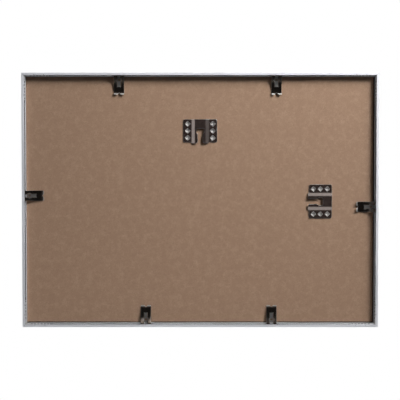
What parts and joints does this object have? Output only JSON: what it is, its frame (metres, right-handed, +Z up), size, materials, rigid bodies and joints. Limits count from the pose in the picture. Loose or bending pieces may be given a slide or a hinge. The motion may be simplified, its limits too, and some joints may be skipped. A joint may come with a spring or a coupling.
{
  "type": "picture frame",
  "caption": "Slim aluminium picture frame, loaded from the back: mitred rails on corner keys, glass, fibreboard back held by pull-out spring clips, and slotted hangers for both ways up.",
  "frame": {"origin": "middle of the frame's width, depth and height", "axes": "+X along the long side, to the right as seen from behind; +Y out of the glass, so the back faces -Y; +Z up as hung in landscape"},
  "size_m": [0.4304, 0.0144, 0.3074],
  "materials": {
    "anodised_aluminium": "matt silver anodised, drawn along the rail",
    "zinc_key": "zinc plated",
    "clear_glass": "clear float glass with seamed edges",
    "blank_paper": "blank off-white card",
    "fibreboard": "raw medium-density fibreboard",
    "dark_plate": "polished dark nickel plate, bright where pierced",
    "spring_steel": "polished dark spring steel"
  },
  "bodies": {
    "frame": {"top_rail": "anodised_aluminium", "bottom_rail": "anodised_aluminium", "left_rail": "anodised_aluminium", "right_rail": "anodised_aluminium", "corner_key_top_left": "zinc_key", "corner_key_top_right": "zinc_key", "corner_key_bottom_left": "zinc_key", "corner_key_bottom_right": "zinc_key", "glass_pane": "clear_glass", "insert_sheet": "blank_paper", "backboard": "fibreboard", "hanger_landscape": "dark_plate", "hanger_portrait": "dark_plate"},
    "clip_top_left": {"clip_top_left": "spring_steel"},
    "clip_top_right": {"clip_top_right": "spring_steel"},
    "clip_left": {"clip_left": "spring_steel"},
    "clip_right": {"clip_right": "spring_steel"},
    "clip_bottom_left": {"clip_bottom_left": "spring_steel"},
    "clip_bottom_right": {"clip_bottom_right": "spring_steel"}
  },
  "joints": [
    {"name": "pull_clip_top_left", "type": "slide", "parent": "frame", "child": "clip_top_left", "axis": [0, 0, -1], "range_m": [0, 0.007]},
    {"name": "pull_clip_top_right", "type": "slide", "parent": "frame", "child": "clip_top_right", "axis": [0, 0, -1], "range_m": [0, 0.007]},
    {"name": "pull_clip_left", "type": "slide", "parent": "frame", "child": "clip_left", "axis": [1, 0, 0], "range_m": [0, 0.007]},
    {"name": "pull_clip_right", "type": "slide", "parent": "frame", "child": "clip_right", "axis": [-1, 0, 0], "range_m": [0, 0.007]},
    {"name": "pull_clip_bottom_left", "type": "slide", "parent": "frame", "child": "clip_bottom_left", "axis": [0, 0, 1], "range_m": [0, 0.007]},
    {"name": "pull_clip_bottom_right", "type": "slide", "parent": "frame", "child": "clip_bottom_right", "axis": [0, 0, 1], "range_m": [0, 0.007]}
  ]
}
